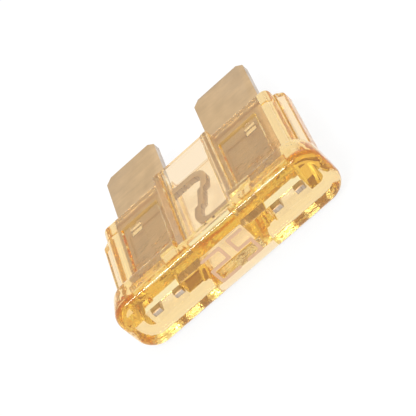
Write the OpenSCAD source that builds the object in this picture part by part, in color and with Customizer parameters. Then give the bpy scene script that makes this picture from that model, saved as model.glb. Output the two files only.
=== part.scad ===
// Automotive blade fuse: a clear amber housing moulded in one piece, and a fuse
// element stamped in one piece from zinc strip and pressed in from below.
// The fuse is drawn standing on its blades, length along X, front towards -Y and
// the cap's top face at z = 0, so depths are counted down from there.
// The finished pieces are laid on their back, with the blades towards -Y.

/* [Blades] */
// Distance between the centre lines of the two blades
blade_pitch = 9.46; // [9:0.02:11]
// Width of a blade
blade_w = 5.1; // [4.6:0.1:5.6]
// Thickness of the blade strip
blade_t = 0.65; // [0.5:0.05:0.8]
// Length of blade that stands out below the housing
blade_reach = 7.15; // [5:0.05:9]
// Width of the slanting cut across each corner of a blade's tip
blade_tip_cut = 0.55; // [0.3:0.05:1.2]
// Depth below the cap's top of the shoulder at a blade's upper end
shoulder_depth = 3.2; // [3:0.05:3.6]

/* [Fork at a blade's upper end] */
// How far the outer prong stands in from the blade's outer edge
fork_inset = 0.1; // [0.05:0.05:0.4]
// Width of the notch between the two prongs
fork_gap = 1.35; // [1:0.05:1.5]
// Width of one prong
prong_w = 0.75; // [0.5:0.05:0.9]
// Depth below the cap's top at which the prongs end
prong_depth = 0.3; // [0.1:0.05:0.8]
// Height over which the end of a prong is coined thinner
prong_taper_h = 0.2; // [0.1:0.05:0.4]
// How far each face of a prong slants in over that height
prong_taper = 0.14; // [0.05:0.01:0.2]

/* [Fusible link] */
// Thickness of the strip where it forms the link
link_t = 0.58; // [0.3:0.01:0.65]
// Width of the link, also of the band at each of its ends
link_w = 0.57; // [0.4:0.01:0.7]
// Depth below the cap's top of the band that joins the +X blade
link_low_depth = 10.05; // [9.7:0.05:10.4]
// Depth below the cap's top of the band that joins the -X blade
link_high_depth = 4.15; // [4:0.05:4.5]
// Middle of the link, measured towards the +X blade
link_mid_x = 0.05; // [-0.1:0.05:0.2]
// Depth below the cap's top of the link's middle
link_mid_depth = 7.1; // [7:0.05:7.2]
// Angle of the link's slanting part from upright
link_lean = 14.5; // [12:0.5:18]
// Sideways step in the slanting part, above and below its middle
link_jog = 0.29; // [0.1:0.01:0.35]
// Distance of each step from the middle
link_jog_at = 0.95; // [0.8:0.05:1.1]
// Length of a step along the link
link_jog_l = 0.2; // [0.1:0.05:0.3]
// Radius round the inside of each turn
link_turn_r = 0.73; // [0.5:0.01:0.8]
// How far a band widens where it joins its blade
link_flare = 0.45; // [0.1:0.05:0.5]

/* [Fit of the element in the housing] */
// Gap beside each edge of a blade in its slot
edge_gap = 0.045; // [0.02:0.005:0.06]
// Gap over each face of the strip
face_gap = 0.02; // [0.01:0.005:0.04]

/* [Housing body] */
// Wall over each face of a blade
face_wall = 1.155; // [0.95:0.005:1.5]
// Wall outside the outer edge of a blade
end_wall = 1.075; // [0.7:0.005:1.5]
// Depth below the cap's top of the body's underside
body_h = 11.45; // [11.2:0.05:12.5]
// Radius of the body's upright corners
body_corner_r = 0.55; // [0.5:0.05:0.9]
// Radius round the body's underside
body_edge_r = 0.3; // [0.1:0.05:0.4]

/* [Cap] */
// Height of the cap
cap_h = 2.85; // [2.6:0.05:2.95]
// How far the cap's underside reaches past the end ribs
cap_end_lip = 0.1; // [0.05:0.05:0.6]
// How far the cap's underside reaches past the body's faces
cap_side_lip = 0.1; // [0:0.05:1]
// How far each end of the cap leans out from its underside to its widest line
cap_end_flare = 0.25; // [0:0.05:0.5]
// How far each long side of the cap leans out in the same way
cap_side_flare = 0.95; // [0:0.05:1.2]
// Corner radius of the cap's underside, seen from above
cap_corner_r = 1.4; // [1:0.05:1.45]
// Radius of the rounded edge round the cap's top
cap_edge_r = 0.48; // [0.2:0.02:0.7]

/* [Test pockets in the cap] */
// Space at each end of a pocket, beside the prongs
pocket_gap = 0.25; // [0.2:0.05:0.6]
// Width of a pocket
pocket_w = 2; // [1.2:0.05:2.2]
// Depth of a pocket
pocket_depth = 2.05; // [1.5:0.05:2.7]

/* [Window round the link] */
// Wall between the window and each blade slot
window_end_wall = 0.135; // [0.1:0.005:0.3]
// Wall in front of and behind the window
window_wall = 0.6; // [0.4:0.05:0.8]
// Thickness of the cap over the window
window_roof = 1.2; // [0.8:0.05:2]
// How far the middle of the housing reaches below the body
skirt_drop = 0.85; // [0.3:0.05:1.5]
// Width of the upright ribs that frame the window
post_w = 0.7; // [0.5:0.05:0.9]
// How far those ribs stand out from the body's faces
post_reach = 0.25; // [0.1:0.05:0.35]
// How far those ribs end above the skirt's lower edge
post_rise = 0.25; // [0:0.05:0.3]
// Distance from the window's end to a rib's inner edge
post_gap = 0.1; // [0:0.05:0.2]
// Radius of a rib's upright corners
post_r = 0.2; // [0.05:0.05:0.24]
// Radius round a rib's lower end
post_foot_r = 0.15; // [0.05:0.05:0.2]

/* [End ribs] */
// How far an end rib stands out from the body
rib_reach = 0.8; // [0.4:0.05:1]
// Thickness of an end rib
rib_t = 1.1; // [0.7:0.05:1.6]
// Height of an end rib's lower corner above the body's underside
rib_rise = 0.2; // [0:0.05:0.6]
// Height of the sloping end of the rib
rib_slope = 0.65; // [0.2:0.05:1.2]

/* [Sunk panels on the faces] */
// How far a panel's centre lies outside the blade's centre line
panel_shift = 0.22; // [0.12:0.02:0.4]
// Width of a panel at the face
panel_w = 3.9; // [3.4:0.05:4]
// Depth of a panel
panel_depth = 0.15; // [0.1:0.05:0.4]
// Width taken by the slope at each side of a panel
panel_slope = 0.25; // [0:0.05:0.4]
// Height of a panel's lower end above the body's underside
panel_rise = 1.85; // [1.2:0.05:2.5]

/* [Stakes that hold the element] */
// Side of the square punched into the front wall over each blade
stake_w = 1.05; // [0.8:0.05:1.2]
// Height of the punched square's centre above the body's underside
stake_rise = 2.3; // [2:0.05:2.6]
// Depth of the punched square below the panel
stake_pit = 0.45; // [0.1:0.05:0.6]
// How far the displaced plastic reaches into the hole in the blade
stake_plug = 0.5; // [0.2:0.05:0.5]
// Gap between the displaced plastic and the hole's edges
stake_gap = 0.05; // [0.02:0.01:0.1]

/* [Hidden] */
$fn = 32;
// Steps in a rounded edge and in each turn of the link
edge_steps = 4;
turn_steps = 12;
// Thickness of the thin slices that a rounded block is drawn over
slice = 0.01;
// Length by which a cut runs past the surface it opens
past = 1;
// Depth at which the pieces below the cap start inside it
root_depth = cap_h / 2;

overall_h = body_h + blade_reach;
blade_in_x = (blade_pitch - blade_w) / 2;
slot_in_x = blade_in_x - edge_gap;
slot_l = blade_w + 2 * edge_gap;
slot_t = blade_t + 2 * face_gap;
fork_l = fork_gap + 2 * prong_w;
fork_x = blade_in_x + blade_w - fork_inset - fork_l / 2;
body_l = blade_pitch + blade_w + 2 * (edge_gap + end_wall);
body_t = slot_t + 2 * face_wall;
cap_base_l = body_l + 2 * (rib_reach + cap_end_lip);
cap_base_t = body_t + 2 * cap_side_lip;
cap_t = cap_base_t + 2 * cap_side_flare;
cap_top_corner_r = cap_corner_r + min(cap_end_flare, cap_side_flare);
window_half_l = slot_in_x - window_end_wall;
skirt_h = body_h + skirt_drop;
post_x = window_half_l + post_gap + post_w / 2;
pocket_l = fork_l + 2 * pocket_gap;
panel_x = blade_pitch / 2 + panel_shift;
stake_x = fork_x;
stake_depth = body_h - stake_rise;
// Directions along the link's slanting part and across it
link_along = [sin(link_lean), cos(link_lean)];
link_side = [cos(link_lean), -sin(link_lean)];

// Quarter round of radius r: pairs of inset and distance from the rounded face
function quarter_round(r) =
    [for (i = [0:edge_steps]) r * [1 - cos(90 * i / edge_steps), 1 - sin(90 * i / edge_steps)]];

module both_ends() {
    children();
    mirror([1, 0, 0]) children();
}

module lay_on_back() {
    translate([0, overall_h / 2, cap_t / 2]) rotate([-90, 0, 0]) children();
}

// An outline drawn in X and Z, given a thickness t across the fuse
module across(t) {
    rotate([90, 0, 0]) linear_extrude(t, center = true) children();
}

module rounded_rect(l, w, r) {
    square([l - 2 * r, w], center = true);
    square([l, w - 2 * r], center = true);
    for (x = [-1, 1], y = [-1, 1]) translate([x * (l / 2 - r), y * (w / 2 - r)]) circle(r);
}

module thin_slice(l, w, r, z) {
    translate([0, 0, z]) linear_extrude(slice) rounded_rect(l, w, r);
}

// A block with upright corners of radius r and a rounded edge round its underside
module block_with_round_foot(l, w, r, foot_r, h) {
    hull() {
        translate([0, 0, foot_r - h]) linear_extrude(h - foot_r - root_depth) rounded_rect(l, w, r);
        for (p = quarter_round(foot_r))
            if (p.x > 0) thin_slice(l - 2 * p.x, w - 2 * p.x, r - p.x, p.y - h);
    }
}

module cap() {
    l = cap_base_l + 2 * cap_end_flare;
    hull() {
        for (p = quarter_round(cap_edge_r))
            thin_slice(l - 2 * p.x, cap_t - 2 * p.x, cap_top_corner_r - p.x, -p.y - slice);
        thin_slice(cap_base_l, cap_base_t, cap_corner_r, -cap_h);
    }
}

module skirt() {
    l = 2 * post_x + post_w;
    translate([-l / 2, -body_t / 2, -skirt_h]) cube([l, body_t, skirt_h - root_depth]);
}

module window_post() {
    translate([post_x, 0, 0])
        block_with_round_foot(post_w, body_t + 2 * post_reach, post_r, post_foot_r, skirt_h - post_rise,
                              $fn = 16);
}

module end_rib() {
    in_x = body_l / 2 - end_wall / 2;
    tip_x = body_l / 2 + rib_reach;
    foot_z = rib_rise - body_h;
    across(rib_t) polygon([[in_x, -root_depth], [tip_x, -root_depth], [tip_x, foot_z + rib_slope],
                           [tip_x - rib_slope, foot_z], [in_x, foot_z]]);
}

module blade_slot() {
    translate([slot_in_x, -slot_t / 2, -skirt_h - past])
        cube([slot_l, slot_t, skirt_h + past - shoulder_depth + edge_gap]);
}

// The way up for the prongs, from the blade slot into the pocket
module fork_slot() {
    l = fork_l + 2 * edge_gap;
    translate([fork_x - l / 2, -slot_t / 2, -shoulder_depth]) cube([l, slot_t, shoulder_depth - root_depth]);
}

module test_pocket() {
    translate([fork_x - pocket_l / 2, -pocket_w / 2, -pocket_depth])
        cube([pocket_l, pocket_w, pocket_depth + past]);
}

module window() {
    t = body_t - 2 * window_wall;
    translate([-window_half_l, -t / 2, -skirt_h - past])
        cube([2 * window_half_l, t, skirt_h + past - window_roof]);
}

// Slit from the window to a blade slot, open below and closed over the link's band
module link_slit(band_top_depth) {
    t = link_t + 2 * face_gap;
    translate([0, -t / 2, -skirt_h - past])
        cube([slot_in_x + edge_gap, t, skirt_h + past - band_top_depth + edge_gap]);
}

// Sunk panel with sloping sides, open at the top where it runs into the cap
module panel() {
    y = body_t / 2;
    w = panel_w / 2;
    translate([panel_x, 0, panel_rise - body_h])
        linear_extrude(body_h - panel_rise - cap_h)
            for (side = [-1, 1])
                polygon([[-w, side * (y + past)], [-w, side * y],
                         [-w + panel_slope, side * (y - panel_depth)],
                         [w - panel_slope, side * (y - panel_depth)],
                         [w, side * y], [w, side * (y + past)]]);
}

module stake_hollow() {
    depth = panel_depth + stake_pit;
    translate([stake_x - stake_w / 2, -body_t / 2 - past, -stake_depth - stake_w / 2])
        cube([stake_w, depth + past, stake_w]);
}

module stake_plug() {
    w = stake_w - 2 * stake_gap;
    translate([stake_x - w / 2, -slot_t / 2 - slice, -stake_depth - w / 2])
        cube([w, slice + face_gap + stake_plug, w]);
}

module housing() {
    color([0.98, 0.8, 0.45, 0.5]) lay_on_back() {
        difference() {
            union() {
                cap();
                block_with_round_foot(body_l, body_t, body_corner_r, body_edge_r, body_h);
                skirt();
                both_ends() {
                    window_post();
                    end_rib();
                }
            }
            window();
            link_slit(link_low_depth - link_w / 2);
            mirror([1, 0, 0]) link_slit(link_high_depth - link_w / 2 - link_flare);
            both_ends() {
                blade_slot();
                fork_slot();
                test_pocket();
                panel();
                stake_hollow();
            }
        }
        both_ends() stake_plug();
    }
}

module blade_outline() {
    w = blade_w / 2;
    h = overall_h - shoulder_depth;
    cut = blade_tip_cut;
    translate([blade_pitch / 2, -overall_h])
        polygon([[-w, cut], [cut - w, 0], [w - cut, 0], [w, cut], [w, h], [-w, h]]);
}

// A prong seen along the fuse, with its end coined thinner on both faces
module prong() {
    t = blade_t / 2;
    top = -prong_depth;
    rotate([90, 0, 90]) linear_extrude(prong_w, center = true)
        polygon([[-t, -shoulder_depth - prong_w], [t, -shoulder_depth - prong_w],
                 [t, top - prong_taper_h], [t - prong_taper, top],
                 [prong_taper - t, top], [-t, top - prong_taper_h]]);
}

module blade() {
    across(blade_t) difference() {
        blade_outline();
        translate([stake_x, -stake_depth]) square(stake_w, center = true);
    }
    for (side = [-1, 1]) translate([fork_x + side * (fork_gap + prong_w) / 2, 0, 0]) prong();
}

// A turn of the link: an arc of radius r that touches the slanting edge at the sideways
// place edge_at, and the band's edge that lies drop below the link's middle
function link_arc(r, edge_at, drop, start, end) =
    let (v = edge_at + r,
         u = (r - drop + v * sin(link_lean)) / cos(link_lean),
         c = u * link_along + v * link_side)
    [for (i = [0:turn_steps])
        let (a = start + (end - start) * i / turn_steps) c + r * [cos(a), sin(a)]];

// Outline of half the link, about its middle: down the slant, past the step, round the
// turn and out along the band, which lies drop below, to the blade's edge at edge_x
function link_half(drop, edge_x) =
    let (w = link_w / 2,
         step = [link_jog_at - link_jog_l / 2, link_jog_at + link_jog_l / 2],
         turn = 180 - link_lean)
    concat(
        [w * link_side - step[0] * link_along, (w - link_jog) * link_side - step[1] * link_along],
        link_arc(link_turn_r, w - link_jog, drop - w, turn, 270),
        [[edge_x + w, w - drop], [edge_x + w, -w - drop - link_flare],
         [edge_x, -w - drop - link_flare], [edge_x - link_flare, -w - drop]],
        link_arc(link_turn_r + link_w, -w - link_jog, drop + w, 270, turn),
        [(-w - link_jog) * link_side - step[1] * link_along, -w * link_side - step[0] * link_along]);

module link() {
    translate([link_mid_x, 0, -link_mid_depth]) across(link_t)
        polygon(concat(link_half(link_low_depth - link_mid_depth, blade_in_x - link_mid_x),
                       [for (p = link_half(link_mid_depth - link_high_depth, blade_in_x + link_mid_x)) -p]));
}

module fuse_element() {
    color([0.72, 0.68, 0.64]) lay_on_back() {
        both_ends() blade();
        link();
    }
}

housing();
fuse_element();
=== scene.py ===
import math
import bmesh
import bpy
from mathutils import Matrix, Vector


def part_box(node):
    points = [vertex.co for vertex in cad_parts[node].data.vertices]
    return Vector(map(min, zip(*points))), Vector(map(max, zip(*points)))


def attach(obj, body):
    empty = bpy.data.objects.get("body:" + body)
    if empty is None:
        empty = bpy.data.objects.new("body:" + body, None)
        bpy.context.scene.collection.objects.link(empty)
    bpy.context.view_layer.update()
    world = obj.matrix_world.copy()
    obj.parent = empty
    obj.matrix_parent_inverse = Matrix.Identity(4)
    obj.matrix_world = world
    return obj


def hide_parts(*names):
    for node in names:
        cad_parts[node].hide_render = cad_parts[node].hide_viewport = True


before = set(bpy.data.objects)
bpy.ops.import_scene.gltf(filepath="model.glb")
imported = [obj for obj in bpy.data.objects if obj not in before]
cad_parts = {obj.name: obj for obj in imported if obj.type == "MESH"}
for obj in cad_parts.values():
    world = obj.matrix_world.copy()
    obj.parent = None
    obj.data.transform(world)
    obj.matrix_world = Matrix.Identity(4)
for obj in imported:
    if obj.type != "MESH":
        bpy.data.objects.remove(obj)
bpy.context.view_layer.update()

# The cap of the housing: a long block of clear amber polycarbonate with round corners, which the
# fingers grip. It is moulded in one piece with everything else of the housing, and its sides lean
# in towards the underside so that it leaves the mould.
mm = 0.001
housing_low, housing_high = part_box("housing")
cap_top = housing_high.y
middle = (housing_low.z + housing_high.z) / 2
cap_half_l = (housing_high.x - housing_low.x) / 2 / mm
cap_half_t = (housing_high.z - housing_low.z) / 2 / mm
cap_h = 2.85
cap_base_half_l = 9.3
cap_base_half_t = 2.45
cap_corner_r = 1.7
cap_edge_r = 0.75
cap_base_edge_r = 0.6
# The underside is cut away in the middle of each long side, down to a thin flange over the window
relief_half_l = 2.7
relief_floor = 1.5
relief_top_floor = 2.0
flange_t = 1.25
# How far out the blocks that cut the sides reach
relief_reach = 3
# Depth at which the pieces under the cap start inside it
root = 1.0
# How far cutting blocks run over each other, and how near counts as the same place
overlap = 0.1
same = 0.01


def place(x, depth, out):
    """A point given by its place along the fuse, below the cap's top and out from the middle, in mm."""
    return Vector((x * mm, cap_top - depth * mm, middle + out * mm))


def block(name, x, depth, out):
    """A box between two places each way, in mm."""
    low = place(x[0], depth[1], out[0])
    high = place(x[1], depth[0], out[1])
    bpy.ops.object.select_all(action="DESELECT")
    bpy.ops.mesh.primitive_cube_add(size=1, location=(low + high) / 2, scale=high - low)
    piece = bpy.context.object
    piece.name = name
    bpy.ops.object.transform_apply(location=True, rotation=False, scale=True)
    return piece


def edit(piece, wanted):
    """Opens a piece in edit mode with only the edges selected whose two ends pass the test."""
    bpy.ops.object.select_all(action="DESELECT")
    bpy.context.view_layer.objects.active = piece
    piece.select_set(True)
    bpy.ops.object.mode_set(mode="EDIT")
    bpy.ops.mesh.select_mode(type="EDGE")
    bpy.ops.mesh.select_all(action="DESELECT")
    shape = bmesh.from_edit_mesh(piece.data)
    for edge in shape.edges:
        a, b = (v.co for v in edge.verts)
        edge.select_set(wanted(a, b))
    shape.select_flush_mode()
    bmesh.update_edit_mesh(piece.data)


def round_edges(piece, wanted, radius, steps):
    """Rounds the edges whose two ends pass the test."""
    edit(piece, wanted)
    bpy.ops.mesh.bevel(offset=radius * mm, segments=steps, affect="EDGES")
    bpy.ops.object.mode_set(mode="OBJECT")


def upright(a, b):
    return abs((b - a).normalized().y) > 0.9


def at_depth(depth):
    """A test for edges that lie at one depth below the cap's top."""
    level = place(0, depth, 0).y
    return lambda a, b: max(abs(a.y - level), abs(b.y - level)) < same * mm


def narrow(piece, wanted, ratio, centre):
    """Draws in the edges that pass the test, by a ratio each way, towards a centre."""
    edit(piece, wanted)
    bpy.ops.transform.resize(value=ratio, center_override=centre)
    bpy.ops.object.mode_set(mode="OBJECT")


cap = block("cap", (-cap_half_l, cap_half_l), (0, cap_h), (-cap_half_t, cap_half_t))
round_edges(cap, upright, cap_corner_r, 12)
round_edges(cap, at_depth(0), cap_edge_r, 6)
narrow(cap, at_depth(cap_h), (cap_base_half_l / cap_half_l, 1, cap_base_half_t / cap_half_t),
       place(0, cap_h, 0))
round_edges(cap, at_depth(cap_h), cap_base_edge_r, 5)


def merge(piece, others, operation):
    """Adds or cuts solids, and deletes what was added or cut with."""
    for other in others:
        step = piece.modifiers.new(operation, "BOOLEAN")
        step.operation = operation
        step.solver = "EXACT"
        step.object = other
        bpy.context.view_layer.objects.active = piece
        bpy.ops.object.modifier_apply(modifier=step.name)
        bpy.data.objects.remove(other)


reliefs = []
for face in (-1, 1):
    relief = block("relief", (-relief_half_l, relief_half_l), (flange_t, cap_h),
                   sorted((face * relief_floor, face * relief_reach)))
    lean = (relief_reach - relief_top_floor) / (relief_reach - relief_floor)
    narrow(relief, at_depth(flange_t), (1, 1, lean), place(0, 0, face * relief_reach))
    reliefs.append(relief)
merge(cap, reliefs, "DIFFERENCE")

# The body below the cap: a flat block round both blades, with the window's two framing ribs on each
# face, the skirt that reaches lower in the middle, and a thin rib standing out at each end. All of it
# comes out of the same mould as the cap.
body_half_l = 8.4
body_half_t = 1.5
body_h = 11.45
body_corner_r = 0.55
body_edge_r = 0.3
skirt_half_l = 2.7
skirt_half_t = 1.52
skirt_h = 12.3
skirt_edge_r = 0.1
post_in, post_out = 2.1, 2.8
post_half_t = 1.75
post_h = 12.05
post_corner_r = 0.2
post_edge_r = 0.15
rib_tip = 9.2
rib_half_t = 0.55
rib_h = 11.25
rib_slope = 0.65
rib_corner_r = 0.15
rib_root = 0.5

body = block("body", (-body_half_l, body_half_l), (root, body_h), (-body_half_t, body_half_t))
round_edges(body, upright, body_corner_r, 6)
round_edges(body, at_depth(body_h), body_edge_r, 4)
skirt = block("skirt", (-skirt_half_l, skirt_half_l), (root, skirt_h), (-skirt_half_t, skirt_half_t))
round_edges(skirt, at_depth(skirt_h), skirt_edge_r, 2)
forms = [body, skirt]
for side in (-1, 1):
    x = sorted((side * post_in, side * post_out))
    post = block("post", x, (root, post_h), (-post_half_t, post_half_t))
    round_edges(post, upright, post_corner_r, 4)
    round_edges(post, at_depth(post_h), post_edge_r, 3)
    forms.append(post)
    x = sorted((side * (body_half_l - rib_root), side * rib_tip))
    rib = block("rib", x, (root, rib_h), (-rib_half_t, rib_half_t))
    tip = place(side * rib_tip, 0, 0).x
    round_edges(rib, lambda a, b: at_depth(rib_h)(a, b) and abs(a.x - tip) + abs(b.x - tip) < same * mm,
                rib_slope, 1)
    round_edges(rib, lambda a, b: upright(a, b) and abs(a.x - tip) < same * mm, rib_corner_r, 3)
    forms.append(rib)
merge(cap, forms, "UNION")

# The hollows that the mould's cores leave: a slot and a forked way up for each blade, a pocket in the
# cap over it for a test probe, the window round the link, a slit to let the link in, and a sunk panel on
# each face with the small square punched in after the element is in place.
past = 1
slot_in, slot_out = 2.135, 7.325
slot_half_t = 0.345
slot_top = 3.155
fork_in, fork_out = 4.28, 7.22
pocket_in, pocket_out = 4.08, 7.43
pocket_front, pocket_back = 0.86, 0.5
pocket_h = 2.4
pocket_corner_r = 0.15
pocket_floor_r = 0.1
window_half_l = 2.0
window_half_t = 0.9
window_top = 1.2
window_corner_r = 0.12
window_roof_r = 0.1
slit_half_t = 0.31
slit_root = 0.5
slit_top = {1: 9.72, -1: 3.37}
panel_in, panel_out = 3.0, 6.9
panel_slope = 0.25
panel_h = 9.6
panel_floor = 1.35
stake_in, stake_out = 5.23, 6.28
stake_top, stake_end = 8.62, 9.68
stake_floor = 1.3
stake_taper = 0.55


def panel(side, face):
    """The wedge-sided block that a sunk panel is cut with."""
    x = sorted((side * panel_in, side * panel_out))
    out = sorted((face * panel_floor, face * (body_half_t + overlap)))
    piece = block("panel", x, (cap_h, panel_h), out)
    level = place(0, 0, face * panel_floor).z
    narrow(piece, lambda a, b: abs(a.z - level) + abs(b.z - level) < same * mm,
           (1 - 2 * panel_slope / (panel_out - panel_in), 1, 1),
           place(side * (panel_in + panel_out) / 2, 0, 0))
    return piece


window = block("window", (-window_half_l, window_half_l), (window_top, skirt_h + past),
               (-window_half_t, window_half_t))
round_edges(window, upright, window_corner_r, 3)
round_edges(window, at_depth(window_top), window_roof_r, 2)
cores = [window]
for side in (-1, 1):
    slot = block("slot", sorted((side * slot_in, side * slot_out)), (slot_top, skirt_h + past),
                 (-slot_half_t, slot_half_t))
    slit = block("slit", sorted((side * (window_half_l - slit_root), side * (slot_in + overlap))),
                 (slit_top[side], skirt_h + past), (-slit_half_t, slit_half_t))
    fork = block("fork", sorted((side * fork_in, side * fork_out)), (root, slot_top + overlap),
                 (-slot_half_t, slot_half_t))
    pocket = block("pocket", sorted((side * pocket_in, side * pocket_out)), (-past, pocket_h),
                   (-pocket_back, pocket_front))
    round_edges(pocket, upright, pocket_corner_r, 3)
    round_edges(pocket, at_depth(pocket_h), pocket_floor_r, 2)
    stake = block("stake", sorted((side * stake_in, side * stake_out)), (stake_top, stake_end),
                  (stake_floor, body_half_t + past))
    pit = place(0, 0, stake_floor).z
    narrow(stake, lambda a, b: abs(a.z - pit) + abs(b.z - pit) < same * mm, (stake_taper, stake_taper, 1),
           place(side * (stake_in + stake_out) / 2, (stake_top + stake_end) / 2, 0))
    cores += [slot, slit, fork, pocket, panel(side, 1), panel(side, -1), stake]
merge(cap, cores, "DIFFERENCE")

# The plastic displaced by the punch, which reaches into the square hole of each blade and holds it.
plug_gap = 0.05
plug_reach = 0.15
plug_root = 0.05
plugs = [block("plug", sorted((side * (stake_in + plug_gap), side * (stake_out - plug_gap))),
               (stake_top + plug_gap, stake_end - plug_gap), (-plug_reach, slot_half_t + plug_root))
         for side in (-1, 1)]
merge(cap, plugs, "UNION")

housing = cap
housing.name = "clear_housing"
bpy.ops.object.select_all(action="DESELECT")
bpy.context.view_layer.objects.active = housing
housing.select_set(True)
bpy.ops.object.shade_smooth_by_angle(angle=math.radians(32))
steady = housing.modifiers.new("steady", "WEIGHTED_NORMAL")
steady.keep_sharp = True
bpy.ops.object.modifier_apply(modifier=steady.name)

# Clear amber polycarbonate: the colour is in the depth of the plastic, so thick places and long
# looks through it are darker than a thin wall.
amber = bpy.data.materials.new("clear_amber_polycarbonate")
amber.use_nodes = True
nodes, links = amber.node_tree.nodes, amber.node_tree.links
plastic = nodes["Principled BSDF"]
plastic.inputs["Base Color"].default_value = (1, 0.92, 0.8, 1)
plastic.inputs["Roughness"].default_value = 0.03
plastic.inputs["IOR"].default_value = 1.58
plastic.inputs["Transmission Weight"].default_value = 1
depth_colour = nodes.new("ShaderNodeVolumeAbsorption")
depth_colour.inputs["Color"].default_value = (0.943, 0.79, 0.05, 1)
depth_colour.inputs["Density"].default_value = 210
links.new(depth_colour.outputs["Volume"], nodes["Material Output"].inputs["Volume"])
# The mould's cores and the cap's sides are less polished than the rest, and leave the plastic wavy.
# The waves are in mm and fade out down the body.
slot_waves, side_waves, polished_waves = 0.2, 0.09, 0.012
waves_full, waves_faded = 4, 7
side_out = 1.2
waviness = housing.data.attributes.new("waviness", "FLOAT", "FACE")
for face, wave in zip(housing.data.polygons, waviness.data):
    depth = (cap_top - face.center.y) / mm
    out = abs(face.center.z - middle) / mm
    wave.value = polished_waves
    if out < slot_half_t + overlap and (depth > pocket_h + overlap or abs(face.normal.y) < 0.9):
        wave.value = slot_waves
    elif cap_edge_r < depth < cap_h + overlap and out > side_out:
        wave.value = side_waves
place_on = nodes.new("ShaderNodeTexCoord")
waves = nodes.new("ShaderNodeTexNoise")
waves.inputs["Scale"].default_value = 900
waves.inputs["Detail"].default_value = 3
amount = nodes.new("ShaderNodeAttribute")
amount.attribute_name = "waviness"
sized = nodes.new("ShaderNodeMath")
sized.operation = "MULTIPLY"
along = nodes.new("ShaderNodeSeparateXYZ")
fade = nodes.new("ShaderNodeMapRange")
fade.inputs["From Min"].default_value = place(0, waves_faded, 0).y
fade.inputs["From Max"].default_value = place(0, waves_full, 0).y
fade.inputs["To Min"].default_value = 0.1
faded = nodes.new("ShaderNodeMath")
faded.operation = "MULTIPLY"
ripple = nodes.new("ShaderNodeBump")
ripple.inputs["Strength"].default_value = 1
ripple.inputs["Distance"].default_value = mm
links.new(place_on.outputs["Object"], waves.inputs["Vector"])
links.new(waves.outputs["Fac"], sized.inputs[0])
links.new(amount.outputs["Fac"], sized.inputs[1])
links.new(place_on.outputs["Object"], along.inputs["Vector"])
links.new(along.outputs["Y"], fade.inputs["Value"])
links.new(sized.outputs[0], faded.inputs[0])
links.new(fade.outputs["Result"], faded.inputs[1])
links.new(faded.outputs[0], ripple.inputs["Height"])
links.new(ripple.outputs["Normal"], plastic.inputs["Normal"])
housing.data.materials.clear()
housing.data.materials.append(amber)
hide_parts("housing")
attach(housing, "root")

# The fuse element: one strip of zinc, stamped with two blades and forked upper ends, and milled
# thin where the link crosses the window. Its sheared edges are slightly rounded.
sheared_edge_r = 0.05
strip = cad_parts["fuse_element"].copy()
strip.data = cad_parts["fuse_element"].data.copy()
strip.name = "zinc_element"
bpy.context.scene.collection.objects.link(strip)
edit(strip, lambda a, b: True)
bpy.ops.mesh.remove_doubles(threshold=0.001 * mm)
bpy.ops.mesh.dissolve_limited(angle_limit=math.radians(1))
bpy.ops.object.mode_set(mode="OBJECT")
shear = strip.modifiers.new("shear", "BEVEL")
shear.width = sheared_edge_r * mm
shear.segments = 2
shear.angle_limit = math.radians(40)
bpy.ops.object.modifier_apply(modifier=shear.name)
bpy.ops.object.shade_smooth_by_angle(angle=math.radians(32))

zinc = bpy.data.materials.new("rolled_zinc")
sheared = bpy.data.materials.new("sheared_zinc_edge")
# Darkest and lightest shade, how fine the rolling lines are each way, and roughness
finishes = [
    (zinc, (0.52, 0.36, 0.2), (0.655, 0.462, 0.26), (60, 900, 900), 0.4),
    (sheared, (0.4, 0.29, 0.2), (0.72, 0.6, 0.48), (1500, 1500, 120), 0.3),
]
for metal_finish, dark, light, lines, roughness in finishes:
    metal_finish.use_nodes = True
    nodes, links = metal_finish.node_tree.nodes, metal_finish.node_tree.links
    metal = nodes["Principled BSDF"]
    metal.inputs["Metallic"].default_value = 1
    place_on = nodes.new("ShaderNodeTexCoord")
    mottle = nodes.new("ShaderNodeTexNoise")
    mottle.inputs["Scale"].default_value = 700
    mottle.inputs["Detail"].default_value = 6
    stretch = nodes.new("ShaderNodeMapping")
    stretch.inputs["Scale"].default_value = lines
    rolling = nodes.new("ShaderNodeTexNoise")
    rolling.inputs["Scale"].default_value = 8
    rolling.inputs["Detail"].default_value = 4
    both = nodes.new("ShaderNodeMath")
    both.operation = "ADD"
    shades = nodes.new("ShaderNodeValToRGB")
    shades.color_ramp.elements[0].color = (*dark, 1)
    shades.color_ramp.elements[0].position = 0.35
    shades.color_ramp.elements[1].color = (*light, 1)
    shades.color_ramp.elements[1].position = 0.65
    halve = nodes.new("ShaderNodeMath")
    halve.operation = "MULTIPLY"
    halve.inputs[1].default_value = 0.5
    rough = nodes.new("ShaderNodeMapRange")
    rough.inputs["From Min"].default_value = 0.3
    rough.inputs["From Max"].default_value = 0.7
    rough.inputs["To Min"].default_value = roughness - 0.06
    rough.inputs["To Max"].default_value = roughness + 0.08
    grooves = nodes.new("ShaderNodeBump")
    grooves.inputs["Strength"].default_value = 0.25
    grooves.inputs["Distance"].default_value = 0.02 * mm
    links.new(place_on.outputs["Object"], mottle.inputs["Vector"])
    links.new(place_on.outputs["Object"], stretch.inputs["Vector"])
    links.new(stretch.outputs["Vector"], rolling.inputs["Vector"])
    links.new(mottle.outputs["Fac"], both.inputs[0])
    links.new(rolling.outputs["Fac"], both.inputs[1])
    links.new(both.outputs[0], halve.inputs[0])
    links.new(halve.outputs[0], shades.inputs["Fac"])
    links.new(shades.outputs["Color"], metal.inputs["Base Color"])
    links.new(rolling.outputs["Fac"], rough.inputs["Value"])
    links.new(rough.outputs["Result"], metal.inputs["Roughness"])
    links.new(rolling.outputs["Fac"], grooves.inputs["Height"])
    links.new(grooves.outputs["Normal"], metal.inputs["Normal"])
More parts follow.
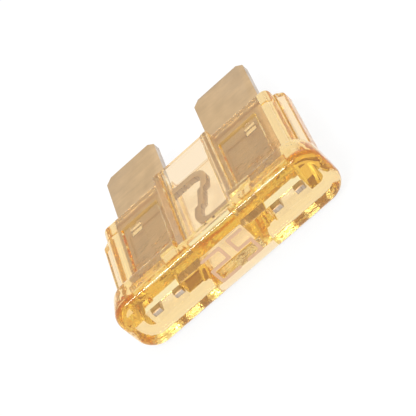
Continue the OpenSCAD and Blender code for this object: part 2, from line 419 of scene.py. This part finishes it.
strip.data.materials.clear()
strip.data.materials.append(zinc)
strip.data.materials.append(sheared)
for face in strip.data.polygons:
    face.material_index = 1 if abs(face.normal.z) < 0.5 else 0
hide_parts("fuse_element")
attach(strip, "root")

# The current rating, printed in thin ink on the cap's top: two plain figures built of straight
# strokes with rounded corners, to be read with the fuse's front face up.
stroke = 0.27
ink_t = 0.01
ink_corner_r = 0.13
levels = (1.0, -0.2, -1.42)
# Each figure's left and right side, and its cells that stay empty, as (column, row) from the left foot
figures = [
    (1.93, 0.08, ((0, 3), (1, 3), (1, 1), (2, 1))),
    (-0.5, -1.97, ((1, 3), (2, 3), (0, 1), (1, 1))),
]
printed = []
for left, right, empty in figures:
    columns = (left, left - stroke, right + stroke, right)
    rows = sorted(level + side * stroke / 2 for level in levels for side in (-1, 1))
    bpy.ops.object.select_all(action="DESELECT")
    bpy.ops.mesh.primitive_grid_add(x_subdivisions=3, y_subdivisions=5, size=2)
    figure = bpy.context.object
    shape = bmesh.new()
    shape.from_mesh(figure.data)
    cells = [(face, round((face.calc_center_median().x + 1) * 1.5 - 0.5),
              round((face.calc_center_median().y + 1) * 2.5 - 0.5)) for face in shape.faces]
    for vert in shape.verts:
        column = round((vert.co.x + 1) * 1.5)
        row = round((vert.co.y + 1) * 2.5)
        vert.co = place(columns[column], 0, rows[row])
    bmesh.ops.delete(shape, geom=[face for face, column, row in cells if (column, row) in empty],
                     context="FACES")
    bmesh.ops.recalc_face_normals(shape, faces=shape.faces)
    shape.to_mesh(figure.data)
    shape.free()
    printed.append(figure)
bpy.ops.object.select_all(action="DESELECT")
for figure in printed:
    figure.select_set(True)
rating = printed[0]
bpy.context.view_layer.objects.active = rating
bpy.ops.object.join()
rating.name = "printed_rating"
corners = rating.modifiers.new("corners", "BEVEL")
corners.affect = "VERTICES"
corners.width = ink_corner_r * mm
corners.segments = 4
film = rating.modifiers.new("film", "SOLIDIFY")
film.thickness = 2 * ink_t * mm
film.offset = 0
for step in (corners, film):
    bpy.ops.object.modifier_apply(modifier=step.name)
ink = bpy.data.materials.new("brown_ink")
ink.use_nodes = True
paint = ink.node_tree.nodes["Principled BSDF"]
paint.inputs["Base Color"].default_value = (0.6, 0.37, 0.22, 1)
paint.inputs["Roughness"].default_value = 0.5
rating.data.materials.clear()
rating.data.materials.append(ink)
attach(rating, "root")

# The table under the fuse: plain white, bright enough to look like the white all round it, and
# still taking the fuse's soft shadow. It mostly glows, and glows fully where plastic is in front of it.
# Light that comes down through the amber would colour it there, and a given peach stands in for that.
floor_size = 1.2
glow_share = 0.85
glow_through = 1.17
# This peach is painted light: the amber-tinted light that the table would get through the fuse, painted
# onto its glow.
painted_amber_light = (1, 0.89, 0.79, 1)
bpy.ops.object.select_all(action="DESELECT")
bpy.ops.mesh.primitive_plane_add(size=floor_size, location=(0, 0, 0))
floor = bpy.context.object
floor.name = "floor"
white = bpy.data.materials.new("white_floor")
white.use_nodes = True
nodes, links = white.node_tree.nodes, white.node_tree.links
nodes.remove(nodes["Principled BSDF"])
matt = nodes.new("ShaderNodeBsdfDiffuse")
matt.inputs["Color"].default_value = (0.95, 0.95, 0.95, 1)
glow = nodes.new("ShaderNodeEmission")
seen = nodes.new("ShaderNodeLightPath")
under = nodes.new("ShaderNodeMix")
under.data_type = "RGBA"
under.inputs[6].default_value = (1, 1, 1, 1)
under.inputs[7].default_value = painted_amber_light
links.new(seen.outputs["Is Transmission Ray"], under.inputs[0])
links.new(under.outputs[2], glow.inputs["Color"])
direct = nodes.new("ShaderNodeMath")
direct.operation = "MAXIMUM"
through = nodes.new("ShaderNodeMath")
through.operation = "MULTIPLY"
through.inputs[1].default_value = glow_through
either = nodes.new("ShaderNodeMath")
either.operation = "MAXIMUM"
share = nodes.new("ShaderNodeMath")
share.operation = "MULTIPLY"
share.inputs[1].default_value = glow_share
blend = nodes.new("ShaderNodeMixShader")
links.new(seen.outputs["Is Camera Ray"], direct.inputs[0])
links.new(seen.outputs["Is Glossy Ray"], direct.inputs[1])
links.new(seen.outputs["Is Transmission Ray"], through.inputs[0])
links.new(direct.outputs[0], either.inputs[0])
links.new(through.outputs[0], either.inputs[1])
links.new(either.outputs[0], share.inputs[0])
links.new(share.outputs[0], blend.inputs["Fac"])
links.new(matt.outputs["BSDF"], blend.inputs[1])
links.new(glow.outputs["Emission"], blend.inputs[2])
links.new(blend.outputs["Shader"], nodes["Material Output"].inputs["Surface"])
floor.data.materials.append(white)

# Light: a white room, one broad soft lamp over the blades' side, and a narrow bright one over the
# cap's side, whose gloss runs along the cap's front edge.
room = bpy.data.worlds.new("white_room")
bpy.context.scene.world = room
room.use_nodes = True
room.node_tree.nodes["Background"].inputs["Color"].default_value = (1, 1, 1, 1)
room.node_tree.nodes["Background"].inputs["Strength"].default_value = 1
bpy.context.scene.view_settings.view_transform = "Standard"
# Name, place, length and width in metres, and power in watts
lamps = [
    ("soft_lamp", Vector((-0.15, -0.2, 0.25)), 0.25, 0.25, 0.2),
    ("narrow_lamp", Vector((0.065, 0.16, 0.245)), 0.14, 0.02, 0.3),
]
for name, lamp_at, length, width, power in lamps:
    lamp_turn = lamp_at.to_track_quat("Z", "Y").to_euler()
    bpy.ops.object.light_add(type="AREA", location=lamp_at, rotation=lamp_turn)
    lamp = bpy.context.object
    lamp.name = name
    lamp.data.shape = "RECTANGLE"
    lamp.data.size = length
    lamp.data.size_y = width
    lamp.data.energy = power
# Light turns many corners inside clear plastic before it comes out
bpy.context.scene.cycles.max_bounces = 64
bpy.context.scene.cycles.transmission_bounces = 64
bpy.context.scene.cycles.glossy_bounces = 64

# The camera: a long lens over the cap's end, turned on its side as in the photograph, so that the
# fuse lies slantwise across the picture.
camera_at = Vector((-27.475, 108.226, 70.631)) * mm
camera_turn = [math.radians(angle) for angle in (46.309, 39.844, 163.241)]
bpy.ops.object.camera_add(location=camera_at, rotation=camera_turn)
camera = bpy.context.object
camera.data.lens = 151.5
camera.data.clip_start = 0.01
bpy.context.scene.camera = camera
